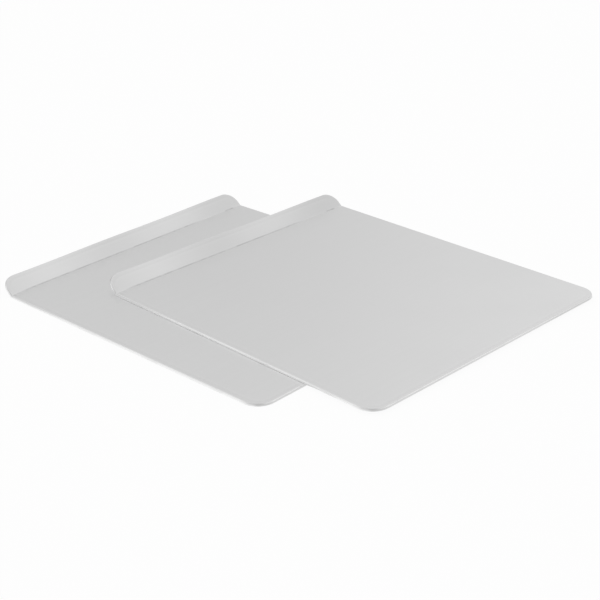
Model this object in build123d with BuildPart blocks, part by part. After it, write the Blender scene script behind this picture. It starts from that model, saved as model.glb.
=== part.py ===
"""A pair of insulated cookie sheets, one lying partly on the other.

Each sheet is two pressed aluminium skins. The upper skin is the baking surface. It turns up into a lip along
one side, and its edge folds under into a hem that holds the lower skin on every side. The lower skin is a
shallow pan whose dimples touch the upper skin and keep an air gap open.

Lengths are in millimetres and angles in degrees. Z is up. The lower sheet lies square to the axes with its lip
along the +Y side, and the origin is the centre of the flat underside that it rests on.
"""
from build123d import *
from math import cos, radians, sin, tan
import os

# One sheet, overall
sheet_width = 355.6
sheet_length = 406.4
free_corner_radius = 20.0

# The lip, measured along its slope from the bend line
lip_slope = 24.5
lip_angle = 39.5
lip_corner_radius = 17.0
bend_radius = 1.6

# The two skins and the hem that joins them
upper_gauge = 0.8
lower_gauge = 0.6
air_gap = 1.4
hem_width = 6.0
hem_clearance = 0.2
hem_roll_radius = 0.9

# The pan pressed into the lower skin
pan_margin = 4.0
pan_wall_run = 4.0
pan_corner_radius = 16.0

# The spacer dimples pressed up from the pan's floor
dimple_width = 11.0
dimple_wall_angle = 45.0
dimple_pitch = 54.0
dimples_across = 6
dimples_along = 6

# Where the upper sheet lies on the lower one
front_shift_across = 66.0
front_shift_along = -98.0
front_turn = -2.5

# Cuts run past open faces by this much
overrun = 1.0

# Heights above the face that the sheet rests on
sheet_thickness = lower_gauge + air_gap + upper_gauge
hem_thickness = upper_gauge + lower_gauge + upper_gauge

# The bend: its virtual line on the baking surface, and where the flat ends and the arc begins
lip_projection = lip_slope * cos(radians(lip_angle)) + hem_thickness * sin(radians(lip_angle))
panel_length = sheet_length - lip_projection
free_edge_y = -panel_length / 2
bend_line_y = panel_length / 2
bend_start_y = bend_line_y - bend_radius * tan(radians(lip_angle) / 2)
bend_centre = Vector(bend_start_y, sheet_thickness + bend_radius)

# Directions in the side view: up the lip, and out of its lower face
up_lip = Vector(cos(radians(lip_angle)), sin(radians(lip_angle)))
under_lip = Vector(sin(radians(lip_angle)), -cos(radians(lip_angle)))
across_lip = Axis((0, 0, 0), (0, under_lip.X, under_lip.Y))
bend_end_y = bend_start_y + (bend_radius + hem_thickness) * under_lip.X


def bent_layer(top_depth, bottom_depth, inset):
    """One layer of the bent sheet between two depths under the baking surface, drawn in from the outline."""
    start_y = free_edge_y + inset
    bend_line = Vector(bend_line_y, sheet_thickness)
    lip_end = bend_line + up_lip * (lip_slope - inset)
    with BuildPart() as layer:
        with BuildSketch(Plane.YZ):
            with BuildLine():
                for depth in (top_depth, bottom_depth):
                    radius = bend_radius + depth
                    bend_start = Vector(bend_start_y, sheet_thickness - depth)
                    Line(Vector(start_y, sheet_thickness - depth), bend_start)
                    CenterArc(bend_centre, radius, -90, lip_angle)
                    Line(bend_centre + under_lip * radius, lip_end + under_lip * depth)
                Line(
                    Vector(start_y, sheet_thickness - top_depth),
                    Vector(start_y, sheet_thickness - bottom_depth),
                )
                Line(lip_end + under_lip * top_depth, lip_end + under_lip * bottom_depth)
            make_face()
        extrude(amount=sheet_width / 2 - inset, both=True)
        upright = layer.edges().filter_by(Axis.Z)
        fillet(upright.group_by(Axis.Y)[0], radius=free_corner_radius - inset)
        lip_corners = layer.edges().filter_by(across_lip).group_by(Axis.Y)[-1]
        fillet(lip_corners, radius=lip_corner_radius - inset)
    return layer.part


# The layers that the skins are cut from
hemmed_blank = bent_layer(0, hem_thickness, 0)
lower_skin_slot = bent_layer(upper_gauge, upper_gauge + lower_gauge, upper_gauge)
hem_window = bent_layer(upper_gauge, hem_thickness + overrun, hem_width)
lower_blank = bent_layer(upper_gauge, upper_gauge + lower_gauge, upper_gauge + hem_clearance)

# The pan's plan sizes, at the rim and at the floor
pan_rim_inset = hem_width + pan_margin
pan_floor_inset = pan_rim_inset + pan_wall_run
pan_centre_y = (free_edge_y + bend_start_y) / 2
flat_length = bend_start_y - free_edge_y
rim_top = sheet_thickness - upper_gauge
rim_bottom = rim_top - lower_gauge


def pan_sketch(height, inset):
    """The pan's plan at one height, as a rounded rectangle drawn in from the flat panel's outline."""
    with BuildSketch(Plane.XY.offset(height)) as plan:
        with Locations((0, pan_centre_y)):
            RectangleRounded(
                sheet_width - 2 * inset,
                flat_length - 2 * inset,
                pan_corner_radius - (inset - pan_rim_inset),
            )
    return plan.sketch


# The upper skin: the hemmed blank with a rolled edge, opened for the lower skin and inside the hem
with BuildPart() as upper_skin:
    add(hemmed_blank)
    wall_seams = edges().filter_by(Axis.Z) + edges().filter_by(across_lip)
    near_bend = (bend_start_y - overrun, bend_end_y + overrun)
    bend_lines = edges().filter_by(Axis.X).filter_by_position(Axis.Y, *near_bend)
    fillet(edges() - wall_seams - bend_lines, radius=hem_roll_radius)
    add(lower_skin_slot, mode=Mode.SUBTRACT)
    add(hem_window, mode=Mode.SUBTRACT)

# The lower skin: a rim that the hem grips, a pan pressed down from it, and dimples pressed back up
with BuildPart() as lower_skin:
    add(lower_blank)
    with BuildSketch(Plane.XY.offset(rim_bottom)):
        add(pan_sketch(rim_bottom, pan_rim_inset))
    with BuildSketch(Plane.XY):
        add(pan_sketch(0, pan_floor_inset))
    loft()
    with BuildSketch(Plane.XY.offset(rim_top)):
        add(pan_sketch(rim_top, pan_rim_inset))
    with BuildSketch(Plane.XY.offset(lower_gauge)):
        add(pan_sketch(lower_gauge, pan_floor_inset))
    loft(mode=Mode.SUBTRACT)
    with BuildSketch(Plane.XY.offset(lower_gauge)):
        with Locations((0, pan_centre_y)):
            with GridLocations(dimple_pitch, dimple_pitch, dimples_across, dimples_along):
                Circle(dimple_width / 2)
    extrude(amount=air_gap, taper=dimple_wall_angle)
    with BuildSketch(Plane.XY):
        with Locations((0, pan_centre_y)):
            with GridLocations(dimple_pitch, dimple_pitch, dimples_across, dimples_along):
                Circle(dimple_width / 2)
    extrude(amount=air_gap, taper=dimple_wall_angle, mode=Mode.SUBTRACT)

# Both sheets: the rear one at the origin, and the front one on top of it, shifted and turned
rear_place = Location((0, 0, 0))
front_place = Location((front_shift_across, front_shift_along, sheet_thickness), (0, 0, front_turn))
sheet_places = {"rear": rear_place, "front": front_place}
skins = {"upper_skin": upper_skin, "lower_skin": lower_skin}

os.makedirs("parts", exist_ok=True)
for sheet_name, place in sheet_places.items():
    for skin_name, skin in skins.items():
        with BuildPart() as piece:
            with Locations(place):
                add(skin.part)
        piece.part.label = f"{sheet_name}_{skin_name}"
        export_step(piece.part, f"parts/{piece.part.label}.step")
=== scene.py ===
"""The looks of a pair of insulated cookie sheets, one lying partly on the other.

Each sheet is an upper skin, which is the baking surface with its lip and folded hem, and a lower skin,
which is a shallow pressed pan with spacer dimples. Both skins are drawn on the flat blank that they are
bent from: a point of the blank has a place across the sheet, a place along it from the free edge to the
lip's top, and a depth under the baking surface. One function folds the blank's points into the bent sheet.
"""

import logging
import math
from collections.abc import Callable
from dataclasses import dataclass, field, replace
from enum import Enum
from functools import reduce

import bmesh
import bpy
import numpy as np
from mathutils import Matrix, Vector


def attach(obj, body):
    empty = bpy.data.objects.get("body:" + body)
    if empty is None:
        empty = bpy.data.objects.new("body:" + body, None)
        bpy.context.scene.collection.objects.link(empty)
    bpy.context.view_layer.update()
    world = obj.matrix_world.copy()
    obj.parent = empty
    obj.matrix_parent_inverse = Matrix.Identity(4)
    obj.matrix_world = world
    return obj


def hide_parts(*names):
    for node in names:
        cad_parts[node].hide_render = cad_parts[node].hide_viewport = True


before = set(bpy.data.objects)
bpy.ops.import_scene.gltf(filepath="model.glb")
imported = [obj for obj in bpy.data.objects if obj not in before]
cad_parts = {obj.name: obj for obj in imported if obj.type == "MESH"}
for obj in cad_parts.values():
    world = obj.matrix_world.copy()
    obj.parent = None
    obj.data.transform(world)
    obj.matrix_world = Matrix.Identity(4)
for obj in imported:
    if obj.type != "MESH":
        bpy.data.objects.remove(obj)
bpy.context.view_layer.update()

log = logging.getLogger("cookie_sheets")

MM = 0.001
PLACE = "blank_place"
WHITE = (1.0, 1.0, 1.0, 1.0)

DepthOf = Callable[[np.ndarray, np.ndarray], np.ndarray]
Shares = float | np.ndarray
Pair = tuple[float, float]
Triple = tuple[float, float, float]
Socket = bpy.types.NodeSocket
Input = Socket | float


class SheetName(Enum):
    """The two sheets, by where they lie in the picture."""

    REAR = "rear"
    FRONT = "front"


class Side(Enum):
    """The two faces of a skin."""

    UPPER = "upper"
    LOWER = "lower"


def along_normal(point: Pair, distance: float, turn: float) -> Pair:
    """A point moved along a section's normal, inwards by the sine and down by the cosine of its turn."""
    return point[0] + distance * math.sin(turn), point[1] + distance * math.cos(turn)


@dataclass(frozen=True)
class SheetSizes:
    """The sizes of one sheet in metres, with its lip angle in radians."""

    width: float = 355.6 * MM
    length: float = 406.4 * MM
    free_corner_radius: float = 20.0 * MM
    lip_slope: float = 24.5 * MM
    lip_angle: float = math.radians(39.5)
    lip_corner_radius: float = 17.0 * MM
    bend_radius: float = 1.6 * MM
    upper_gauge: float = 0.8 * MM
    lower_gauge: float = 0.6 * MM
    air_gap: float = 1.4 * MM
    hem_width: float = 6.0 * MM
    hem_clearance: float = 0.15 * MM
    bead_crown_radius: float = 0.8 * MM
    bead_crown_turn: float = math.radians(66.0)
    bead_side_radius: float = 9.1 * MM
    bead_side_turn: float = math.radians(80.0)
    bead_heel_radius: float = 0.12 * MM
    bead_run: float = 2.6 * MM
    outline_slack: float = 0.01 * MM
    slot_inset: float = 1.45 * MM
    pan_margin: float = 4.0 * MM
    pan_wall_run: float = 4.0 * MM
    pan_corner_radius: float = 16.0 * MM
    dimple_width: float = 11.0 * MM
    dimple_wall_run: float = 2.8 * MM
    dimple_pitch: float = 54.0 * MM
    dimple_count: int = 6
    lip_trim: float = 1.38 * MM

    @property
    def thickness(self) -> float:
        """The whole body, from the pan's underside to the baking surface."""
        return self.lower_gauge + self.air_gap + self.upper_gauge

    @property
    def hem_thickness(self) -> float:
        """The three layers of the hem."""
        return 2 * self.upper_gauge + self.lower_gauge

    @property
    def bead_depth(self) -> float:
        """How far the bead hangs below the baking surface.

        Returns:
            The depth, from three arcs that share their tangents.
        """
        crown_drop = (self.bead_side_radius - self.bead_crown_radius) * math.cos(self.bead_crown_turn)
        side_drop = (self.bead_side_radius - self.bead_heel_radius) * math.cos(self.bead_side_turn)
        return self.bead_crown_radius + self.bead_heel_radius + crown_drop - side_drop

    @property
    def heel_centre(self) -> Pair:
        """The middle of the heel's arc, as how far it is drawn in and its depth."""
        return self.bead_heel_radius + self.outline_slack, self.bead_depth - self.bead_heel_radius

    @property
    def side_centre(self) -> Pair:
        """The middle of the side's arc."""
        apart = self.bead_side_radius - self.bead_heel_radius
        return along_normal(self.heel_centre, apart, self.bead_side_turn)

    @property
    def crown_centre(self) -> Pair:
        """The middle of the crown's arc, which starts level with the baking surface."""
        apart = self.bead_crown_radius - self.bead_side_radius
        return along_normal(self.side_centre, apart, self.bead_crown_turn)

    @property
    def bead_reach(self) -> float:
        """How far in from the outline the bead starts."""
        return self.crown_centre[0]

    @property
    def panel_length(self) -> float:
        """The panel from its free edge to the virtual bend line."""
        slope = self.lip_slope * math.cos(self.lip_angle)
        return self.length - slope - self.hem_thickness * math.sin(self.lip_angle)

    @property
    def bend_setback(self) -> float:
        """How far the bend's arc starts before the virtual bend line."""
        return self.bend_radius * math.tan(self.lip_angle / 2)

    @property
    def flat_length(self) -> float:
        """The panel from its free edge to where the bend's arc starts."""
        return self.panel_length - self.bend_setback

    @property
    def bend_arc(self) -> float:
        """The arc's length on the baking surface."""
        return self.bend_radius * self.lip_angle

    @property
    def blank_length(self) -> float:
        """The blank from the free edge to the lip's top, trimmed so that the lip's wave stays in the box."""
        return self.flat_length + self.bend_arc + self.lip_slope - self.bend_setback - self.lip_trim


@dataclass(frozen=True)
class Placement:
    """Where a sheet lies in the row frame."""

    across: float
    along: float
    height: float
    turn: float

    def place(self, points: np.ndarray) -> np.ndarray:
        """Turns points about the vertical and then shifts them.

        Args:
            points: an (n, 3) array in the sheet's own frame, in metres.

        Returns:
            The (n, 3) array in the row frame.
        """
        cosine, sine = math.cos(self.turn), math.sin(self.turn)
        turned = points @ np.array([[cosine, sine, 0], [-sine, cosine, 0], [0, 0, 1]])
        return turned + np.array([self.across, self.along, self.height])


@dataclass(frozen=True)
class LipWave:
    """The slight twist that the press leaves in the lip, as a wave length and a height at the lip's top."""

    length: float = 172.1 * MM
    height: float = 0.65 * MM
    phase: float = -0.396

    def depth(self, across: np.ndarray, along: np.ndarray, sizes: SheetSizes) -> np.ndarray:
        """How far the lip leans outwards at each point of the blank.

        It is a sine along the lip, times the share of the way from the bend to the lip's top.

        Args:
            across: places across the blank.
            along: places along the blank.
            sizes: the sheet's sizes.

        Returns:
            The depths, of the same shape as across.
        """
        start = sizes.flat_length + sizes.bend_arc / 2
        rise = np.clip((along - start) / (sizes.blank_length - start), 0, 1)
        return self.height * np.sin(2 * math.pi * across / self.length + self.phase) * rise


@dataclass
class Blank:
    """The flat blank of one sheet, with the fold that makes it the bent sheet."""

    sizes: SheetSizes
    placement: Placement
    wave: LipWave

    def fold(self, across: np.ndarray, along: np.ndarray, depth: np.ndarray) -> np.ndarray:
        """Folds points of the blank into the bent sheet.

        Up to the bend, a point keeps its place along the panel. In the bend it goes round a circle whose
        radius is the bend's own plus the point's depth. Past it, it goes straight up the lip's slope.

        Args:
            across: places across the blank, from its middle.
            along: places along the blank, from its free edge.
            depth: depths under the baking surface.

        Returns:
            An (n, 3) array of points in the row frame.
        """
        sizes = self.sizes
        depth = depth + self.wave.depth(across, along, sizes)
        turned = np.clip((along - sizes.flat_length) / sizes.bend_arc, 0, 1) * sizes.lip_angle
        up_lip = np.maximum(along - sizes.flat_length - sizes.bend_arc, 0)
        radius = sizes.bend_radius + depth
        y = np.minimum(along, sizes.flat_length) - sizes.panel_length / 2
        y = y + radius * np.sin(turned) + up_lip * math.cos(sizes.lip_angle)
        z = sizes.thickness - depth + radius * (1 - np.cos(turned))
        z = z + up_lip * math.sin(sizes.lip_angle)
        points = np.stack([across.ravel(), y.ravel(), z.ravel()], axis=1)
        return self.placement.place(points)


def smooth_step(values: np.ndarray) -> np.ndarray:
    """The smooth step 3 s^2 - 2 s^3 of values that are first held between 0 and 1."""
    share = np.clip(values, 0, 1)
    return share * share * (3 - 2 * share)


def spaced(stops: list[tuple[float, int]], start: float) -> np.ndarray:
    """Places along a line, evenly spaced between stops.

    Args:
        stops: pairs of a stop and how many steps lead to it from the last one.
        start: the first place.

    Returns:
        The rising places, with the start and every stop among them.
    """
    places = [np.array([start])]
    last = start
    for stop, steps in stops:
        places.append(np.linspace(last, stop, steps + 1)[1:])
        last = stop
    return np.concatenate(places)


def put_in_scene(name: str, data: bpy.types.ID) -> bpy.types.Object:
    """Makes an object and links it to the scene.

    Args:
        name: the object's name.
        data: its mesh, camera or light.

    Returns:
        The object.
    """
    item = bpy.data.objects.new(name, data)
    bpy.context.scene.collection.objects.link(item)
    return item


@dataclass
class SkinNet:
    """The net of points that a skin is drawn on: a grid inside, and rings that follow the outline.

    The rings are the outline drawn in by a distance. The innermost ring lies on the grid's border.
    """

    blank: Blank
    columns: np.ndarray
    rows: np.ndarray
    corner_steps: int = 20
    merge_distance: float = 0.004 * MM
    sharp_angle: float = math.radians(42.0)
    parts: list[tuple[np.ndarray, np.ndarray, np.ndarray]] = field(default_factory=list)
    faces: list[np.ndarray] = field(default_factory=list)
    count: int = 0

    def corner(self, inset: float, side: int, end: int) -> tuple[np.ndarray, np.ndarray]:
        """One corner of a ring, as an arc about the outline's own corner centre.

        Args:
            inset: how far the ring is drawn in.
            side: 1 for the corner at the higher across, -1 for the lower.
            end: 1 for the corner at the lip's top, -1 at the free edge.

        Returns:
            The corner's places across and along, anticlockwise seen from above.
        """
        sizes = self.blank.sizes
        radius = sizes.lip_corner_radius if end > 0 else sizes.free_corner_radius
        reach = max(radius, inset)
        middle = sizes.blank_length / 2
        first = {(1, -1): -90, (1, 1): 0, (-1, 1): 90, (-1, -1): 180}[(side, end)]
        angle = np.radians(np.linspace(first, first + 90, self.corner_steps + 1))
        arc = max(radius - inset, 0)
        across = side * (sizes.width / 2 - reach) + arc * np.cos(angle)
        along = middle + end * (middle - reach) + arc * np.sin(angle)
        return across, along

    def ring(self, inset: float) -> tuple[np.ndarray, np.ndarray]:
        """The outline drawn in by a distance, anticlockwise from the free edge.

        Args:
            inset: how far the ring is drawn in.

        Returns:
            The ring's places across and along.
        """
        sizes = self.blank.sizes
        columns, rows = self.columns[1:-1], self.rows[1:-1]
        half = sizes.width / 2 - inset
        top = sizes.blank_length - inset
        pieces = [
            (columns, np.full(columns.shape, inset)),
            self.corner(inset, 1, -1),
            (np.full(rows.shape, half), rows),
            self.corner(inset, 1, 1),
            (columns[::-1], np.full(columns.shape, top)),
            self.corner(inset, -1, 1),
            (np.full(rows.shape, -half), rows[::-1]),
            self.corner(inset, -1, -1),
        ]
        return np.concatenate([p[0] for p in pieces]), np.concatenate([p[1] for p in pieces])

    def add_points(self, across: np.ndarray, along: np.ndarray, depth: np.ndarray) -> int:
        """Adds points to the net.

        Args:
            across: places across the blank.
            along: places along the blank.
            depth: depths under the baking surface.

        Returns:
            The first new point's number.
        """
        first = self.count
        self.parts.append((across.ravel(), along.ravel(), depth.ravel()))
        self.count += across.size
        return first

    def add_quads(self, numbers: np.ndarray) -> None:
        """Joins a two-dimensional array of point numbers with four-sided faces."""
        quads = [numbers[:-1, :-1], numbers[:-1, 1:], numbers[1:, 1:], numbers[1:, :-1]]
        self.faces.append(np.stack([q.ravel() for q in quads], axis=1))

    def add_grid(self, depth_of: DepthOf) -> None:
        """Covers the inside with a grid whose depth is a function of its place.

        Args:
            depth_of: a function of the places across and along that gives depths.
        """
        along, across = np.meshgrid(self.rows, self.columns, indexing="ij")
        first = self.add_points(across, along, depth_of(across, along))
        self.add_quads(first + np.arange(across.size).reshape(across.shape))

    def add_rings(self, section: np.ndarray, depth_of: DepthOf | None = None, shares: Shares = 1.0) -> None:
        """Carries a section round the outline.

        Each station of the section is one ring, and neighbouring rings are joined by faces.

        Args:
            section: a (k, 2) array of how far each station is drawn in and its depth.
            depth_of: a function of places across and along that adds to the depths, if any.
            shares: how much of that function each station takes, as one number or one for each station.
        """
        rings = [self.ring(inset) for inset in section[:, 0]]
        across = np.stack([r[0] for r in rings])
        along = np.stack([r[1] for r in rings])
        depth = np.repeat(section[:, 1:2], across.shape[1], axis=1)
        if depth_of is not None:
            depth = depth + np.reshape(shares, (-1, 1)) * depth_of(across, along)
        first = self.add_points(across, along, depth)
        numbers = first + np.arange(across.size).reshape(across.shape)
        self.add_quads(np.concatenate([numbers, numbers[:, :1]], axis=1))

    def build(self, name: str) -> bpy.types.Object:
        """Makes the mesh object, with its seams merged and its faces turned outwards.

        Args:
            name: the object's name.

        Returns:
            The new object, at the origin, with its place in its mesh.
        """
        across, along, depth = (np.concatenate([p[i] for p in self.parts]) for i in range(3))
        points = self.blank.fold(across, along, depth)
        mesh = bpy.data.meshes.new(name)
        mesh.from_pydata(points, [], np.concatenate(self.faces))
        place = mesh.attributes.new(PLACE, "FLOAT_VECTOR", "POINT")
        values = np.stack([across, along, depth], axis=1).astype(np.float32)
        place.data.foreach_set("vector", values.ravel())
        surface = bmesh.new()
        surface.from_mesh(mesh)
        bmesh.ops.remove_doubles(surface, verts=surface.verts, dist=self.merge_distance)
        bmesh.ops.dissolve_degenerate(surface, edges=surface.edges, dist=self.merge_distance)
        bmesh.ops.recalc_face_normals(surface, faces=surface.faces)
        surface.to_mesh(mesh)
        surface.free()
        mesh.shade_smooth()
        mesh.set_sharp_from_angle(angle=self.sharp_angle)
        return put_in_scene(name, mesh)


def arc_section(centre: Pair, radius: float, first: float, last: float, steps: int) -> np.ndarray:
    """Stations of a section along an arc.

    Args:
        centre: the arc's centre, as how far it is drawn in and its depth.
        radius: the arc's radius.
        first: the angle of the first station in degrees, from the inward direction towards the depth.
        last: the angle of the last station in degrees.
        steps: how many steps the arc has.

    Returns:
        A (steps + 1, 2) array of stations.
    """
    angle = np.radians(np.linspace(first, last, steps + 1))
    return np.stack([centre[0] + radius * np.cos(angle), centre[1] + radius * np.sin(angle)], axis=1)


@dataclass
class UpperSkin:
    """The baking surface, with its lip and the hem that folds under on every side.

    Its section starts on the baking surface at the grid's border. It goes out over the crimp, round the bead
    and back in under the sheet to the hem's raw edge, then through the slot that holds the lower skin and
    back to the border.
    """

    blank: Blank
    reach: float = 20.0 * MM
    column_steps: int = 44
    panel_steps: int = 46
    bend_steps: int = 8
    lip_steps: int = 3
    border_stations: tuple[float, ...] = (17.0 * MM, 14.0 * MM, 12.0 * MM, 10.5 * MM)
    crimp_start: float = 9.0 * MM
    crimp_end: float = 1.8 * MM
    crimp_stations: int = 17
    crimp_depth: float = 0.06 * MM
    crimp_width: float = 2.4 * MM
    crown_steps: int = 8
    side_steps: int = 6
    heel_steps: int = 6
    hem_flat_end: float = 5.0 * MM
    hem_stations: int = 12
    raw_edge_radius: float = 0.25 * MM
    raw_edge_steps: int = 4
    inner_stations: tuple[float, ...] = (12.0 * MM, 17.0 * MM)
    pleats: int = 7
    pleat_height: float = 0.07 * MM
    pleat_rings: int = 2

    def net(self) -> SkinNet:
        """The net that the skin is drawn on.

        Returns:
            The net, with its rows close together in the bend.
        """
        sizes = self.blank.sizes
        half = sizes.width / 2 - self.reach
        columns = spaced([(half, self.column_steps)], -half)
        rows = spaced(
            [
                (sizes.flat_length, self.panel_steps),
                (sizes.flat_length + sizes.bend_arc, self.bend_steps),
                (sizes.blank_length - self.reach, self.lip_steps),
            ],
            self.reach,
        )
        return SkinNet(self.blank, columns, rows)

    def crimp(self, inset: np.ndarray) -> np.ndarray:
        """The shallow dip over the hem's inner edge, as a bell curve of how far a ring is drawn in."""
        from_edge = (inset - self.blank.sizes.hem_width) / (self.crimp_width / 2)
        return self.crimp_depth * np.exp(-(from_edge**2))

    def pleat_depth(self, across: np.ndarray, along: np.ndarray) -> np.ndarray:
        """The small pleats of the folded metal, as a sine of the angle about each corner's centre.

        Args:
            across: places across the blank.
            along: places along the blank.

        Returns:
            The depths that the pleats add.
        """
        sizes = self.blank.sizes
        depth = np.zeros(across.shape)
        from_lip = sizes.blank_length - along
        corners = ((along, sizes.free_corner_radius), (from_lip, sizes.lip_corner_radius))
        for from_end, radius in corners:
            x = np.abs(across) - (sizes.width / 2 - radius)
            y = radius - from_end
            inside = (x > 0) & (y > 0)
            share = np.arctan2(np.maximum(y, 0), np.maximum(x, 0)) / (math.pi / 2)
            wave = np.sin(2 * math.pi * self.pleats * share) * np.sin(math.pi * share)
            depth = np.where(inside, self.pleat_height * wave, depth)
        return depth

    def top_section(self) -> np.ndarray:
        """The section of the baking surface, from the grid's level border over the crimp.

        Returns:
            The stations, each with how far it is drawn in and its depth.
        """
        crimp = np.linspace(self.crimp_start, self.crimp_end, self.crimp_stations)
        insets = np.concatenate([np.array([self.reach, *self.border_stations]), crimp])
        return np.stack([insets, self.crimp(insets) * (insets < self.reach)], axis=1)

    def bead_section(self) -> np.ndarray:
        """The section of the rolled bead: crown, side and heel, as three arcs that share their tangents.

        Returns:
            The stations, each with how far it is drawn in and its depth.
        """
        sizes = self.blank.sizes
        start, stop = -90.0, -270.0
        crown_end = start - math.degrees(sizes.bead_crown_turn)
        side_end = start - math.degrees(sizes.bead_side_turn)
        crown = arc_section(sizes.crown_centre, sizes.bead_crown_radius, start, crown_end, self.crown_steps)
        side = arc_section(sizes.side_centre, sizes.bead_side_radius, crown_end, side_end, self.side_steps)
        heel = arc_section(sizes.heel_centre, sizes.bead_heel_radius, side_end, stop, self.heel_steps)
        return np.concatenate([crown, side[1:], heel[1:]])

    def hem_section(self) -> np.ndarray:
        """The section under the sheet, which loses the bead's swell smoothly and turns round the raw edge.

        Returns:
            The stations, each with how far it is drawn in and its depth.
        """
        sizes = self.blank.sizes
        start = sizes.heel_centre[0]
        insets = np.linspace(start, self.hem_flat_end, self.hem_stations)[1:]
        left = 1 - smooth_step((insets - start) / sizes.bead_run)
        swell = (sizes.bead_depth - sizes.hem_thickness) * left
        under = np.stack([insets, sizes.hem_thickness + swell], axis=1)
        raw = self.raw_edge_radius
        centre = (sizes.hem_width - raw, sizes.hem_thickness - raw)
        return np.concatenate([under, arc_section(centre, raw, 90, 0, self.raw_edge_steps)])

    def inner_section(self) -> np.ndarray:
        """The section of the slot that holds the lower skin, and of the face over the air gap.

        Returns:
            The stations, each with how far it is drawn in and its depth.
        """
        sizes = self.blank.sizes
        gauge = sizes.upper_gauge
        slot_floor = gauge + sizes.lower_gauge
        slot = [
            [sizes.hem_width, slot_floor],
            [sizes.slot_inset, slot_floor],
            [sizes.slot_inset, gauge],
            [sizes.hem_width, gauge],
        ]
        face = [[inset, gauge] for inset in (*self.inner_stations, self.reach)]
        return np.array(slot + face)

    def build(self, name: str) -> bpy.types.Object:
        """Makes the skin, with pleats that rise over the hem's first rings and end with its raw edge.

        Args:
            name: the piece's name.

        Returns:
            The skin's object.
        """
        rolled = np.concatenate([self.top_section(), self.bead_section()])
        hem = self.hem_section()
        inner = self.inner_section()
        rise = np.clip(np.arange(len(hem)) / self.pleat_rings, 0, 1)
        shares = np.concatenate([np.zeros(len(rolled)), rise, np.zeros(len(inner))])
        net = self.net()
        net.add_grid(lambda across, along: np.zeros(across.shape))
        net.add_rings(np.concatenate([rolled, hem, inner]), self.pleat_depth, shares)
        net.add_grid(lambda across, along: np.full(across.shape, self.blank.sizes.upper_gauge))
        return net.build(name)


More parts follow.
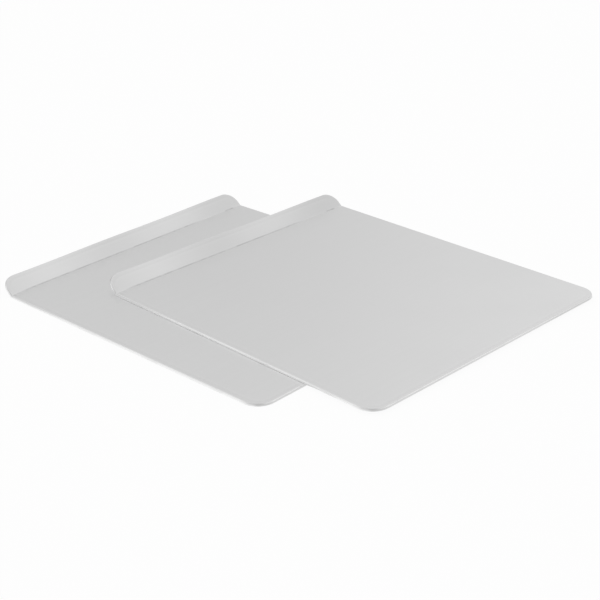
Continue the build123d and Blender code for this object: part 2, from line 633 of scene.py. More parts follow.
@dataclass
class LowerSkin:
    """The underside skin: a rim that the hem grips, a shallow pan, and spacer dimples pressed up from it."""

    blank: Blank
    reach: float = 20.0 * MM
    dimple_lines: int = 13
    gap_shares: tuple[float, ...] = (0.25, 0.5, 0.75)
    end_steps: int = 3
    wall_lead_share: float = 0.2
    floor_steps: int = 6
    wall_steps: int = 10
    rim_steps: int = 2
    bend_steps: int = 6
    lip_steps: int = 2
    floor_station: float = 17.0 * MM
    hem_station: float = 3.0 * MM

    def pan_rise(self, across: np.ndarray, along: np.ndarray) -> np.ndarray:
        """How far the pan is pressed down, from 0 on the rim to 1 on the floor.

        It is the smooth step of the distance inside a rounded rectangle, over the wall's run.

        Args:
            across: places across the blank.
            along: places along the blank.

        Returns:
            The shares, of the same shape as across.
        """
        sizes = self.blank.sizes
        inset = sizes.hem_width + sizes.pan_margin
        radius = sizes.pan_corner_radius
        middle = sizes.flat_length / 2
        x = np.abs(across) - (sizes.width / 2 - inset - radius)
        y = np.abs(along - middle) - (middle - inset - radius)
        outside = np.hypot(np.maximum(x, 0), np.maximum(y, 0)) + np.minimum(np.maximum(x, y), 0)
        return smooth_step((radius - outside) / sizes.pan_wall_run)

    def dimple_rise(self, across: np.ndarray, along: np.ndarray) -> np.ndarray:
        """How far the dimples are pressed back up, from 0 on the floor to 1 on their flat tops.

        It is the smooth step of the distance to the nearest dimple's centre, over the wall's run.

        Args:
            across: places across the blank.
            along: places along the blank.

        Returns:
            The shares, of the same shape as across.
        """
        sizes = self.blank.sizes
        half = (sizes.dimple_count - 1) / 2
        columns = across / sizes.dimple_pitch + half
        rows = (along - sizes.flat_length / 2) / sizes.dimple_pitch + half
        near_column = np.clip(np.round(columns), 0, sizes.dimple_count - 1)
        near_row = np.clip(np.round(rows), 0, sizes.dimple_count - 1)
        distance = sizes.dimple_pitch * np.hypot(columns - near_column, rows - near_row)
        return smooth_step((sizes.dimple_width / 2 - distance) / sizes.dimple_wall_run)

    def top_depth(self, across: np.ndarray, along: np.ndarray) -> np.ndarray:
        """The depth of the skin's upper face under the baking surface."""
        pan, dimples = self.pan_rise(across, along), self.dimple_rise(across, along)
        return self.blank.sizes.upper_gauge + self.blank.sizes.air_gap * (pan - dimples * pan)

    def under_depth(self, across: np.ndarray, along: np.ndarray) -> np.ndarray:
        """The depth of the skin's lower face under the baking surface."""
        return self.top_depth(across, along) + self.blank.sizes.lower_gauge

    def lines(self, start: float, stop: float, centre: float) -> np.ndarray:
        """Grid lines that are close together at the dimples and at the pan's walls.

        Args:
            start: the first line.
            stop: the last line.
            centre: the middle of the dimples.

        Returns:
            The rising places of the lines.
        """
        sizes = self.blank.sizes
        half = (sizes.dimple_count - 1) / 2
        centres = centre + (np.arange(sizes.dimple_count) - half) * sizes.dimple_pitch
        radius = sizes.dimple_width / 2
        near = (centres[:, None] + np.linspace(-radius, radius, self.dimple_lines)).ravel()
        between = (centres[:-1, None] + np.array(self.gap_shares) * sizes.dimple_pitch).ravel()
        before = np.linspace(start, near[0], self.end_steps + 1)[:-1]
        after = np.linspace(near[-1], stop, self.end_steps + 1)[1:]
        return np.sort(np.concatenate([near, between, before, after]))

    def build(self, name: str) -> bpy.types.Object:
        """Makes the skin: its upper face, its edge and its lower face.

        Args:
            name: the piece's name.

        Returns:
            The skin's object.
        """
        sizes = self.blank.sizes
        half = sizes.width / 2 - self.reach
        columns = self.lines(-half, half, 0)
        wall = sizes.hem_width + sizes.pan_margin
        rim = sizes.flat_length - wall
        lead = self.wall_lead_share * sizes.pan_wall_run
        rows = self.lines(self.reach, rim - sizes.pan_corner_radius, sizes.flat_length / 2)
        more_rows = spaced(
            [
                (rim - sizes.pan_wall_run - lead, self.floor_steps),
                (rim + lead, self.wall_steps),
                (sizes.flat_length, self.rim_steps),
                (sizes.flat_length + sizes.bend_arc, self.bend_steps),
                (sizes.blank_length - self.reach, self.lip_steps),
            ],
            rows[-1],
        )
        net = SkinNet(self.blank, columns, np.concatenate([rows, more_rows[1:]]))
        edge = sizes.slot_inset + sizes.hem_clearance
        over_wall = np.linspace(wall + sizes.pan_wall_run + lead, wall - lead, self.wall_steps + 1)
        in_hem = np.array([sizes.hem_width, self.hem_station, edge])
        insets = np.concatenate([np.array([self.reach, self.floor_station]), over_wall, in_hem])
        level = np.stack([insets, np.zeros(insets.shape)], axis=1)
        net.add_grid(self.top_depth)
        net.add_rings(level, self.top_depth)
        rim_edge = np.array([[edge, sizes.upper_gauge], [edge, sizes.upper_gauge + sizes.lower_gauge]])
        net.add_rings(rim_edge)
        net.add_rings(level[::-1], self.under_depth)
        net.add_grid(self.under_depth)
        return net.build(name)


@dataclass(frozen=True)
class Ramp:
    """A smooth step from one value to a higher one, with what it gives before and after."""

    low: float
    high: float
    start: float = 0.0
    end: float = 1.0

    def moved(self, distance: float) -> "Ramp":
        """The same step, further along by a distance."""
        return replace(self, low=self.low + distance, high=self.high + distance)


@dataclass
class NodeSheet:
    """A short way to make and join shader nodes in one tree."""

    tree: bpy.types.NodeTree

    def add(self, kind: str, **values: object) -> bpy.types.Node:
        """Makes a node and sets its properties and inputs.

        Args:
            kind: the node's type name.
            values: properties by name, and inputs by socket name, with underscores for spaces if need be.

        Returns:
            The node.
        """
        node = self.tree.nodes.new(kind)
        for name, value in values.items():
            if hasattr(node, name):
                setattr(node, name, value)
            else:
                self.feed(value, node.inputs[name.replace("_", " ")])
        return node

    def join(self, source: Socket, target: Socket) -> None:
        """Joins an output to an input."""
        self.tree.links.new(source, target)

    def feed(self, value: object, target: Socket) -> None:
        """Joins a socket to an input, or sets the input.

        Args:
            value: the socket, or what the input is set to.
            target: the input.
        """
        if isinstance(value, Socket):
            self.join(value, target)
        else:
            target.default_value = value

    def math(self, operation: str, *values: Input) -> Socket:
        """A maths node.

        Args:
            operation: the node's operation.
            values: its inputs, each a socket or a number.

        Returns:
            The result.
        """
        node = self.add("ShaderNodeMath", operation=operation)
        for value, target in zip(values, node.inputs):
            self.feed(value, target)
        return node.outputs[0]

    def product(self, *factors: Input) -> Socket:
        """The product of several factors."""
        return reduce(lambda one, other: self.math("MULTIPLY", one, other), factors)

    def apart(self, value: Socket, middle: float) -> Socket:
        """How far a value is from a middle one."""
        return self.math("ABSOLUTE", self.math("SUBTRACT", value, middle))

    def ramp(self, value: Socket, step: Ramp) -> Socket:
        """A smooth step of a value.

        Args:
            value: the value.
            step: where the step lies and what it gives.

        Returns:
            The step's output.
        """
        limits = {"From Min": step.low, "From Max": step.high, "To Min": step.start, "To Max": step.end}
        node = self.add("ShaderNodeMapRange", interpolation_type="SMOOTHSTEP", Value=value, **limits)
        return node.outputs["Result"]

    def noise(self, place: Socket, scale: Input, detail: float, roughness: float = 0.5) -> Socket:
        """A noise in space, or along a line where the place is a single number.

        Args:
            place: the place, as a vector or a number.
            scale: how fine the noise is.
            detail: how many finer noises are laid over the first.
            roughness: how strong those are.

        Returns:
            The noise, about one half.
        """
        on_line = {"noise_dimensions": "1D", "W": place}
        where = on_line if place.type == "VALUE" else {"Vector": place}
        node = self.add("ShaderNodeTexNoise", Scale=scale, Detail=detail, Roughness=roughness, **where)
        return node.outputs["Fac"]

    def patches(self, place: Socket, scale: float, step: Ramp) -> Socket:
        """An uneven mask, from a noise through a smooth step."""
        return self.ramp(self.noise(place, scale, detail=2.0), step)

    def mix(self, share: Socket, first: Socket, second: Socket) -> Socket:
        """Mixes two shaders.

        Args:
            share: the second shader's share.
            first: the first shader.
            second: the second shader.

        Returns:
            The mixed shader.
        """
        node = self.add("ShaderNodeMixShader")
        for source, target in zip((share, first, second), node.inputs):
            self.join(source, target)
        return node.outputs[0]


class GroupEffect:
    """An effect that materials share, as a node group that reads the place on the blank and gives masks.

    The group is built once and placed in each material with that material's own values.
    """

    name: str

    def values(self) -> dict[str, float]:
        """The numbers that each material sets, by socket name."""
        raise NotImplementedError

    def draw(self, sheet: NodeSheet, source: bpy.types.NodeOutputs) -> dict[str, Socket]:
        """Draws the group's nodes.

        Args:
            sheet: the group's node sheet.
            source: the group's place and values.

        Returns:
            The masks, by name.
        """
        raise NotImplementedError

    def group(self) -> bpy.types.NodeTree:
        """The node group, built on its first use.

        Returns:
            The group.
        """
        if self.name in bpy.data.node_groups:
            return bpy.data.node_groups[self.name]
        tree = bpy.data.node_groups.new(self.name, "ShaderNodeTree")
        tree.interface.new_socket("Place", in_out="INPUT", socket_type="NodeSocketVector")
        for value in self.values():
            tree.interface.new_socket(value, in_out="INPUT", socket_type="NodeSocketFloat")
        sheet = NodeSheet(tree)
        masks = self.draw(sheet, sheet.add("NodeGroupInput").outputs)
        for mask in masks:
            tree.interface.new_socket(mask, in_out="OUTPUT", socket_type="NodeSocketFloat")
        sheet.add("NodeGroupOutput", **masks)
        return tree

    def masks(self, sheet: NodeSheet, place: Socket) -> bpy.types.NodeOutputs:
        """Places the effect in a material, with that material's values, and gives its masks by name."""
        return sheet.add("ShaderNodeGroup", node_tree=self.group(), Place=place, **self.values()).outputs


@dataclass(frozen=True)
class RolledGrain(GroupEffect):
    """The fine lines that rolling and brushing leave in sheet metal.

    Two noises, drawn out along the lip and close together across it, give fine lines and wider streaks.
    """

    name: str = "rolled_grain"
    fine_scale: float = 2600.0
    streak_scale: float = 240.0
    stretch: float = 0.012

    def values(self) -> dict[str, float]:
        """How fine the two noises are and how far they are drawn out."""
        return {"Fine Scale": self.fine_scale, "Streak Scale": self.streak_scale, "Stretch": self.stretch}

    def draw(self, sheet: NodeSheet, source: bpy.types.NodeOutputs) -> dict[str, Socket]:
        """Draws the two noises.

        Args:
            sheet: the group's node sheet.
            source: the group's place and values.

        Returns:
            The fine lines and the streaks, both about one half.
        """
        parts = sheet.add("ShaderNodeSeparateXYZ", Vector=source["Place"]).outputs
        squeezed = sheet.product(parts["X"], source["Stretch"])
        place = sheet.add("ShaderNodeCombineXYZ", X=squeezed, Y=parts["Y"]).outputs[0]
        return {
            "Fine": sheet.noise(place, source["Fine Scale"], detail=2.0, roughness=0.55),
            "Streak": sheet.noise(place, source["Streak Scale"], detail=3.0, roughness=0.55),
        }


@dataclass(frozen=True)
class ScratchSet:
    """Scratches of one direction, with their turn from the lip in radians and their stretch."""

    turn: float
    stretch: float


@dataclass(frozen=True)
class HandlingMarks(GroupEffect):
    """Soft smudges and sparse hairline scratches from handling.

    The smudges are a broad noise. The scratches are thin lines where a turned, drawn-out noise crosses one
    level, and a third noise keeps them to a few patches. The two scales are each material's own, and the
    other values belong to the group.
    """

    name: str = "handling_marks"
    smudge_scale: float = 14.0
    scratch_scale: float = 60.0
    smudges: Ramp = Ramp(0.38, 0.66)
    scratch_sets: tuple[ScratchSet, ScratchSet] = (ScratchSet(0.5, 0.03), ScratchSet(-1.1, 0.05))
    scratch_level: float = 0.62
    scratch_line: Ramp = Ramp(0.0, 0.004, 1.0, 0.0)
    patch_scale: float = 22.0
    patches: Ramp = Ramp(0.5, 0.62)

    def values(self) -> dict[str, float]:
        """How fine the smudges and the scratches are."""
        return {"Smudge Scale": self.smudge_scale, "Scratch Scale": self.scratch_scale}

    def draw(self, sheet: NodeSheet, source: bpy.types.NodeOutputs) -> dict[str, Socket]:
        """Draws the smudges and the scratches.

        Args:
            sheet: the group's node sheet.
            source: the group's place and values.

        Returns:
            The smudges and the scratches, each 1 where they are strongest.
        """
        smudge = sheet.noise(source["Place"], source["Smudge Scale"], detail=4.0)
        scratches = [self.scratches(sheet, source, one) for one in self.scratch_sets]
        patches = sheet.patches(source["Place"], self.patch_scale, self.patches)
        return {
            "Smudge": sheet.ramp(smudge, self.smudges),
            "Scratch": sheet.product(sheet.math("MAXIMUM", *scratches), patches),
        }

    def scratches(self, sheet: NodeSheet, source: bpy.types.NodeOutputs, one: ScratchSet) -> Socket:
        """Draws the scratches of one direction.

        Args:
            sheet: the group's node sheet.
            source: the group's place and values.
            one: the direction and stretch.

        Returns:
            The mask, 1 in the middle of a scratch.
        """
        turned = sheet.add("ShaderNodeMapping", vector_type="POINT", Vector=source["Place"])
        turned.inputs["Rotation"].default_value = (0.0, 0.0, one.turn)
        turned.inputs["Scale"].default_value = (one.stretch, 1.0, 1.0)
        noise = sheet.noise(turned.outputs[0], source["Scratch Scale"], detail=1.0, roughness=0.4)
        return sheet.ramp(sheet.apart(noise, self.scratch_level), self.scratch_line)


@dataclass
class SkinNodes(NodeSheet):
    """The nodes of a skin's material, which read the place on the flat blank from the mesh.

    The place is there whole, and as its parts across, along and in depth.
    """

    sizes: SheetSizes
    place: Socket = field(init=False)
    across: Socket = field(init=False)
    along: Socket = field(init=False)
    depth: Socket = field(init=False)

    def __post_init__(self) -> None:
        """Adds the nodes that read the place."""
        self.place = self.add("ShaderNodeAttribute", attribute_name=PLACE).outputs["Vector"]
        parts = self.add("ShaderNodeSeparateXYZ", Vector=self.place).outputs
        self.across, self.along, self.depth = parts["X"], parts["Y"], parts["Z"]


@dataclass(frozen=True)
class PaintedCreaseShade:
    """Painted shade along the bend's tight radius, a thin darker line in the colour that changes slowly on
    its way.

    It is faint at the first end, and fades well before the other one but for a short pinch by the corner.
    """

    line: Ramp = Ramp(0.3 * MM, 1.5 * MM, 0.26, 0.0)
    first_end: Ramp = Ramp(8.0 * MM, 36.0 * MM, 0.1, 1.0)
    last_end: Ramp = Ramp(80.0 * MM, 112.0 * MM, 1.0, 0.2)
    pinch_place: float = 157.0 * MM
    pinch: Ramp = Ramp(4.0 * MM, 9.0 * MM, 0.9, 0.0)
    patch_scale: float = 46.0
    patches: Ramp = Ramp(0.35, 0.6, 0.55, 1.0)

    def share(self, skin: SkinNodes) -> Socket:
        """How much of the metal's tone the painted shade along the bend takes away.

        Args:
            skin: the material's nodes.

        Returns:
            The share, 0 away from the bend and the line's own in its middle.
        """
        middle = skin.sizes.flat_length + skin.sizes.bend_arc / 2
        line = skin.ramp(skin.apart(skin.along, middle), self.line)
        first_end = skin.ramp(skin.across, self.first_end.moved(-skin.sizes.width / 2))
        pinch = skin.ramp(skin.apart(skin.across, self.pinch_place), self.pinch)
        last_end = skin.math("ADD", skin.ramp(skin.across, self.last_end), pinch)
        patches = skin.patches(skin.across, self.patch_scale, self.patches)
        return skin.product(line, first_end, last_end, patches)


@dataclass(frozen=True)
class BeadWearAndHighlight:
    """The bead round the sheet, brightened in its colour from its crown down: edge wear in part, and in part
    a painted highlight of the rolled edge.

    The brightening is uneven along the bead. On the crown it fades towards the bend and comes back on the
    lip's own ends. Along the free edge it is strong on the crown and faint below it, and it evens out before
    the last corner.
    """

    # How much the bead's colour is brightened: a painted highlight, partly edge wear.
    wear_and_highlight_gain: float = 0.34
    smoothing: float = 0.04
    inner_end: float = 5.5 * MM
    rolled: Ramp = Ramp(0.1 * MM, 0.6 * MM)
    by_free_edge: Ramp = Ramp(3.0 * MM, 9.0 * MM, 1.0, 0.0)
    free_crown_gain: float = 0.3
    free_side_loss: Ramp = Ramp(0.7 * MM, 1.2 * MM, 0.0, 1.15)
    by_last_corner: Ramp = Ramp(60.0 * MM, 130.0 * MM)
    last_corner_highlight: Ramp = Ramp(0.7 * MM, 1.2 * MM, 0.95, -0.08)
    nearing_lip: Ramp = Ramp(-120.0 * MM, -30.0 * MM)
    up_lip: Ramp = Ramp(1.0 * MM, 6.0 * MM, 1.0, 0.25)
    lip_loss: Ramp = Ramp(0.8 * MM, 1.6 * MM, 0.85, 0.25)
    patch_scale: float = 38.0
    patches: Ramp = Ramp(0.36, 0.56, 0.84, 1.08)

    def free_edge(self, skin: SkinNodes) -> Socket:
        """How strong the bead's brightening, edge wear and painted highlight, is because of the free edge.

        Args:
            skin: the material's nodes.

        Returns:
            The strength, 1 away from the free edge.
        """
        free = skin.ramp(skin.along, self.by_free_edge)
        crown = skin.math("MULTIPLY_ADD", free, self.free_crown_gain, 1.0)
        side_loss = skin.product(free, skin.ramp(skin.depth, self.free_side_loss))
        strength = skin.math("SUBTRACT", crown, side_loss)
        near_corner = skin.product(free, skin.ramp(skin.across, self.by_last_corner))
        by_corner = skin.ramp(skin.depth, self.last_corner_highlight)
        change = skin.product(near_corner, skin.math("SUBTRACT", by_corner, strength))
        return skin.math("ADD", strength, change)

    def lip(self, skin: SkinNodes) -> Socket:
        """How strong the bead's brightening, edge wear and painted highlight, is because of the lip.

        Args:
            skin: the material's nodes.

        Returns:
            The strength, 1 away from the lip.
        """
        nearing = skin.ramp(skin.along, self.nearing_lip.moved(skin.sizes.flat_length))
        up_lip = skin.ramp(skin.along, self.up_lip.moved(skin.sizes.flat_length))
        loss = skin.product(nearing, up_lip, skin.ramp(skin.depth, self.lip_loss))
        return skin.math("SUBTRACT", 1.0, loss)

    def mask(self, skin: SkinNodes) -> Socket:
        """Where the bead is brightened, as edge wear and a painted highlight.

        Args:
            skin: the material's nodes.

        Returns:
            The mask, about 1 on the bead and 0 inside it.
        """
        side = skin.math("SUBTRACT", skin.sizes.width / 2, skin.math("ABSOLUTE", skin.across))
        near = skin.math("MINIMUM", skin.along, side)
        outer = skin.ramp(near, Ramp(skin.sizes.bead_reach, self.inner_end, 1.0, 0.0))
        rolled = skin.ramp(skin.depth, self.rolled)
        patches = skin.patches(skin.place, self.patch_scale, self.patches)
        return skin.product(outer, rolled, self.free_edge(skin), self.lip(skin), patches)


@dataclass(frozen=True)
class PaintedLipReflectionBands:
    """Painted reflection banding along the lip, as a sine of the tone that is as long as the lip's wave."""

    length: float = LipWave.length
    phase: float = -0.9
    on_lip: Ramp = Ramp(0.0, 6.0 * MM, 0.0, 0.02)

    def factor(self, skin: SkinNodes) -> Socket:
        """The factor of the tone that paints the reflection banding.

        Args:
            skin: the material's nodes.

        Returns:
            The factor, 1 off the lip.
        """
        angle = skin.math("MULTIPLY_ADD", skin.across, 2 * math.pi / self.length, self.phase)
        on_lip = skin.ramp(skin.along, self.on_lip.moved(skin.sizes.flat_length))
        return skin.math("MULTIPLY_ADD", skin.math("SINE", angle), on_lip, 1.0)


@dataclass(frozen=True)
class SatinAluminium:
    """A satin aluminium finish, with its grain drawn along the lip.

    The colour is the tone, varied a little by streaks and, where the skin has them, by painted shade along
    the tight bend, a brightened bead that is partly edge wear and partly painted highlight, and painted
    reflection banding on the lip. The roughness follows the streaks, the smudges, the scratches and the wear
    on the bead. The grain and the scratches are also a bump a few thousandths of a millimetre high.
    """

    name: str
    tone: Triple
    roughness: float
    grain_depth: float
    streak_share: float
    smudge_share: float
    scratch_share: float
    streak_roughness: float = 0.03
    streak_low: float = 0.2
    streak_high: float = 0.8
    grain: RolledGrain = RolledGrain()
    marks: HandlingMarks = HandlingMarks()
    painted_crease_shade: PaintedCreaseShade | None = None
    bead_wear_and_highlight: BeadWearAndHighlight | None = None
    painted_lip_bands: PaintedLipReflectionBands | None = None

    def build(self, sizes: SheetSizes) -> bpy.types.Material:
        """Makes the material.

        Args:
            sizes: the sheet's sizes, for the places of the bend, the lip and the bead.

        Returns:
            The material.
        """
        material = bpy.data.materials.new(self.name)
        material.use_nodes = True
        skin = SkinNodes(material.node_tree, sizes)
        grain = self.grain.masks(skin, skin.place)
        marks = self.marks.masks(skin, skin.place)
        streaks = Ramp(self.streak_low, self.streak_high, 1 - self.streak_share, 1 + self.streak_share)
        shade = skin.ramp(grain["Streak"], streaks)
        smoothest = self.roughness - self.streak_roughness / 2
        rough = skin.math("MULTIPLY_ADD", grain["Streak"], self.streak_roughness, smoothest)
        rough = skin.math("MULTIPLY_ADD", marks["Smudge"], self.smudge_share, rough)
        rough = skin.math("MULTIPLY_ADD", marks["Scratch"], -self.scratch_share, rough)
        # Painted shade: a darker line in the colour along the tight bend, where the bend's radius would be
        # in shade.
        if self.painted_crease_shade:
            shade = skin.product(shade, skin.math("SUBTRACT", 1.0, self.painted_crease_shade.share(skin)))
        # Painted highlight on the bead, partly edge wear: its colour is brightened and its roughness
        # lowered.
        if self.bead_wear_and_highlight:
            worn_and_highlit = self.bead_wear_and_highlight.mask(skin)
            shade = skin.product(shade, skin.math("MULTIPLY_ADD", worn_and_highlit, self.bead_wear_and_highlight.wear_and_highlight_gain, 1.0))
            rough = skin.math("MULTIPLY_ADD", worn_and_highlit, -self.bead_wear_and_highlight.smoothing, rough)
        # Painted reflection banding on the lip, a slow sine in the colour.
        if self.painted_lip_bands:
            shade = skin.product(shade, self.painted_lip_bands.factor(skin))
        colour = skin.add("ShaderNodeVectorMath", operation="SCALE", Vector=self.tone, Scale=shade)
        height = skin.math("MULTIPLY_ADD", marks["Scratch"], -self.scratch_share, grain["Fine"])
        bump = skin.add("ShaderNodeBump", Strength=1.0, Distance=self.grain_depth, Height=height)
        target = material.node_tree.nodes["Principled BSDF"].inputs
        target["Metallic"].default_value = 1.0
        skin.join(colour.outputs[0], target["Base Color"])
        skin.join(rough, target["Roughness"])
        skin.join(bump.outputs["Normal"], target["Normal"])
        return material


@dataclass
class CookieSheet:
    """One sheet: its upper and lower skins on one blank."""

    name: SheetName
    placement: Placement
    wave: LipWave
    upper_finish: SatinAluminium
    lower_finish: SatinAluminium
    sizes: SheetSizes = field(default_factory=SheetSizes)

    def build(self) -> list[bpy.types.Object]:
        """Makes both skins, dresses them and lets them ride on the sheet's body.

        Returns:
            The two pieces.
        """
        blank = Blank(self.sizes, self.placement, self.wave)
        makers = {Side.UPPER: UpperSkin(blank), Side.LOWER: LowerSkin(blank)}
        finishes = {Side.UPPER: self.upper_finish, Side.LOWER: self.lower_finish}
        pieces = []
        for side, maker in makers.items():
            node = f"{self.name.value}_{side.value}_skin"
            piece = maker.build(f"{node}_finished")
            self.dress(piece, finishes[side])
            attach(piece, f"{self.name.value}_sheet")
            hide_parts(node)
            pieces.append(piece)
        return pieces

    def dress(self, piece: bpy.types.Object, finish: SatinAluminium) -> None:
        """Gives a piece its finish, whose material is made on its first use."""
        material = bpy.data.materials.get(finish.name) or finish.build(self.sizes)
        piece.data.materials.append(material)


@dataclass(frozen=True)
class PhotoCamera:
    """The photograph's camera: where it looks, from how far, its angles in degrees and its lens."""

    target: Triple = (23.0 * MM, -56.0 * MM, 0.0)
    distance: float = 1486.0 * MM
    heading: float = 45.95
    tilt_down: float = 25.14
    roll: float = 1.79
    lens_mm: float = 82.12
    film_mm: float = 36.0
    nearest: float = 0.01
    farthest: float = 100.0

    def axes(self) -> tuple[Vector, Vector, Vector]:
        """The camera's directions in the row frame, from its heading, tilt and roll.

        Returns:
            Its right, up and forward directions.
        """
        heading, tilt, roll = (math.radians(a) for a in (self.heading, self.tilt_down, self.roll))
        forward = Vector(
            (math.sin(heading) * math.cos(tilt), math.cos(heading) * math.cos(tilt), -math.sin(tilt))
        )
        level = Vector((math.cos(heading), -math.sin(heading), 0.0))
        down = forward.cross(level)
        right = level * math.cos(roll) + down * math.sin(roll)
        up = right.cross(forward)
        return right, up, forward

    def build(self) -> None:
        """Makes the camera and sets it as the scene's."""
        data = bpy.data.cameras.new("photo_camera")
        data.sensor_width = self.film_mm
        data.lens = self.lens_mm
        data.clip_start = self.nearest
        data.clip_end = self.farthest
        right, up, forward = self.axes()
        place = Vector(self.target) - forward * self.distance
        turn = Matrix((right, up, -forward)).transposed().to_4x4()
        camera = put_in_scene("photo_camera", data)
        camera.matrix_world = Matrix.Translation(place) @ turn
        bpy.context.scene.camera = camera


@dataclass(frozen=True)
class SoftBox:
    """A soft patch of light in the sky.

    Its turn from the camera's heading, its height and its half width are in degrees.
    """

    name: str
    turn: float
    height: float
    half_width: float
    gain: float

    def light(self, sheet: NodeSheet, direction: Socket, heading: float) -> Socket:
        """The light that the box adds in a direction.

        It is a smooth step of the cosine of the angle between the direction and the box's middle.

        Args:
            sheet: the world's node sheet.
            direction: the direction.
            heading: the camera's heading in degrees.

        Returns:
            The strength that is added.
        """
        turn, height = math.radians(heading + self.turn), math.radians(self.height)
        level = math.cos(height)
        middle = (math.sin(turn) * level, math.cos(turn) * level, math.sin(height))
        toward = sheet.add("ShaderNodeVectorMath", operation="DOT_PRODUCT", Vector=direction)
        toward.inputs[1].default_value = middle
        rise = Ramp(math.cos(math.radians(self.half_width)), 1.0, 0.0, self.gain)
        return sheet.ramp(toward.outputs["Value"], rise)


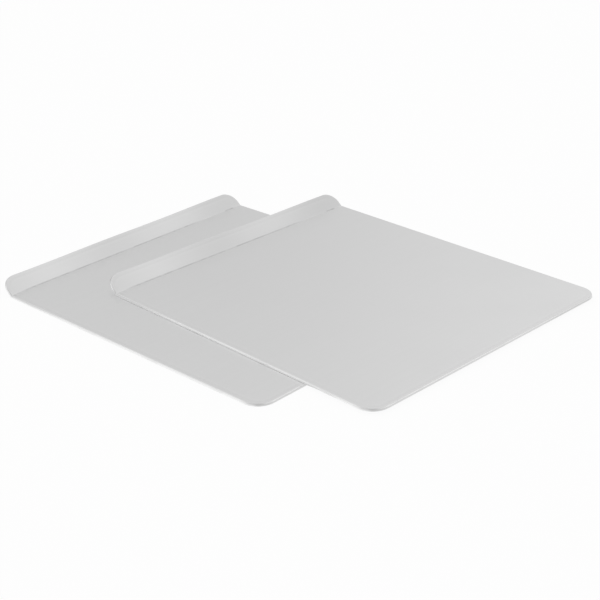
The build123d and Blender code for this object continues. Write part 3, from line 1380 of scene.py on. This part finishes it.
@dataclass(frozen=True)
class Studio:
    """A pale floor, a soft sky with soft boxes, and a lamp overhead."""

    heading: float
    floor_size: float = 24.0
    floor_drop: float = 0.1 * MM
    floor_tone: float = 0.95
    shadow_share: float = 0.08
    sky_level: float = 0.71
    soft_boxes: tuple[SoftBox, ...] = (
        SoftBox("left_low", turn=-90.0, height=12.0, half_width=26.0, gain=0.15),
        SoftBox("left_middle", turn=-90.0, height=35.0, half_width=26.0, gain=0.25),
        SoftBox("left_high", turn=-45.0, height=58.0, half_width=26.0, gain=0.2),
        SoftBox("left_far", turn=-60.0, height=35.0, half_width=26.0, gain=0.2),
        SoftBox("far_left", turn=-30.0, height=35.0, half_width=26.0, gain=0.15),
        SoftBox("far_middle", turn=0.0, height=35.0, half_width=26.0, gain=0.1),
        SoftBox("far_right", turn=30.0, height=35.0, half_width=26.0, gain=0.15),
        SoftBox("far_low_middle", turn=12.0, height=25.0, half_width=14.0, gain=0.15),
        SoftBox("far_low_right", turn=25.0, height=25.0, half_width=14.0, gain=0.15),
        SoftBox("far_high_middle", turn=0.0, height=45.0, half_width=14.0, gain=0.25),
        SoftBox("right_far_high", turn=45.0, height=58.0, half_width=26.0, gain=0.3),
        SoftBox("right_low", turn=90.0, height=22.0, half_width=20.0, gain=0.4),
        SoftBox("right_high", turn=90.0, height=58.0, half_width=26.0, gain=0.1),
        SoftBox("right_near_high", turn=135.0, height=58.0, half_width=26.0, gain=0.25),
    )
    lamp_watts: float = 1.0
    lamp_width: float = 1.6
    lamp_place: Triple = (-0.3, 0.4, 1.9)

    def build(self) -> None:
        """Makes the floor, the sky and the lamp."""
        self.floor()
        self.sky()
        self.lamp()

    def seen_directly(self, sheet: NodeSheet) -> Socket:
        """A mask of the rays that come from the camera, off gloss or through glass.

        Args:
            sheet: the floor's node sheet.

        Returns:
            The mask, 1 for these rays and 0 for others.
        """
        path = sheet.add("ShaderNodeLightPath")
        seen = sheet.math("MAXIMUM", path.outputs["Is Camera Ray"], path.outputs["Is Glossy Ray"])
        return sheet.math("MAXIMUM", seen, path.outputs["Is Transmission Ray"])

    def floor(self) -> None:
        """A large white floor under the object, which keeps a soft shadow."""
        half = self.floor_size / 2
        corners = [(-half, -half), (half, -half), (half, half), (-half, half)]
        mesh = bpy.data.meshes.new("studio_floor")
        mesh.from_pydata([(x, y, -self.floor_drop) for x, y in corners], [], [(0, 1, 2, 3)])
        floor = put_in_scene("studio_floor", mesh)
        material = bpy.data.materials.new("studio_floor_white")
        material.use_nodes = True
        sheet = NodeSheet(material.node_tree)
        nodes = material.node_tree.nodes
        nodes.remove(nodes["Principled BSDF"])
        tone = (self.floor_tone, self.floor_tone, self.floor_tone, 1.0)
        lit = sheet.add("ShaderNodeBsdfDiffuse", Color=tone).outputs[0]
        white = sheet.add("ShaderNodeEmission", Color=WHITE, Strength=1.0).outputs[0]
        share = sheet.product(self.seen_directly(sheet), 1.0 - self.shadow_share)
        sheet.join(sheet.mix(share, lit, white), nodes["Material Output"].inputs["Surface"])
        mesh.materials.append(material)

    def sky(self) -> None:
        """A soft sky that is white to the camera, with soft boxes that brighten it here and there."""
        world = bpy.data.worlds.new("studio_sky")
        world.use_nodes = True
        bpy.context.scene.world = world
        sheet = NodeSheet(world.node_tree)
        nodes = world.node_tree.nodes
        direction = sheet.add("ShaderNodeTexCoord").outputs["Generated"]
        strength = self.sky_level
        for box in self.soft_boxes:
            strength = sheet.math("ADD", strength, box.light(sheet, direction, self.heading))
        to_camera = sheet.add("ShaderNodeLightPath").outputs["Is Camera Ray"]
        soft = sheet.add("ShaderNodeBackground", Color=WHITE, Strength=strength).outputs[0]
        white = sheet.add("ShaderNodeBackground", Color=WHITE, Strength=1.0).outputs[0]
        sheet.join(sheet.mix(to_camera, soft, white), nodes["World Output"].inputs["Surface"])
        nodes.remove(nodes["Background"])

    def lamp(self) -> None:
        """One soft box overhead, for the floor's shadow."""
        data = bpy.data.lights.new("soft_box_overhead", "AREA")
        data.shape = "SQUARE"
        data.size = self.lamp_width
        data.energy = self.lamp_watts
        put_in_scene("soft_box_overhead", data).location = self.lamp_place


def main() -> None:
    """Builds the sheets, the camera and the studio."""
    logging.basicConfig(level=logging.INFO, format="%(name)s: %(message)s")
    sizes = SheetSizes()
    upper = SatinAluminium(
        name="satin_baking_surface",
        tone=(0.69, 0.69, 0.69),
        roughness=0.30,
        grain_depth=0.0015 * MM,
        streak_share=0.006,
        smudge_share=0.03,
        scratch_share=0.02,
        painted_crease_shade=PaintedCreaseShade(),
        bead_wear_and_highlight=BeadWearAndHighlight(),
        painted_lip_bands=PaintedLipReflectionBands(),
    )
    lower = SatinAluminium(
        name="satin_underside",
        tone=(0.65, 0.65, 0.65),
        roughness=0.42,
        grain_depth=0.003 * MM,
        streak_share=0.02,
        smudge_share=0.06,
        scratch_share=0.08,
    )
    at_origin = Placement(across=0.0, along=0.0, height=0.0, turn=0.0)
    on_rear = Placement(across=66.0 * MM, along=-98.0 * MM, height=sizes.thickness, turn=math.radians(-2.5))
    placements = {SheetName.REAR: at_origin, SheetName.FRONT: on_rear}
    for name, placement in placements.items():
        for piece in CookieSheet(name, placement, LipWave(), upper, lower, sizes).build():
            log.info("%s: %d faces", piece.name, len(piece.data.polygons))
    camera = PhotoCamera()
    camera.build()
    Studio(camera.heading).build()
    bpy.context.scene.view_settings.view_transform = "Standard"


if __name__ == "__main__":
    main()
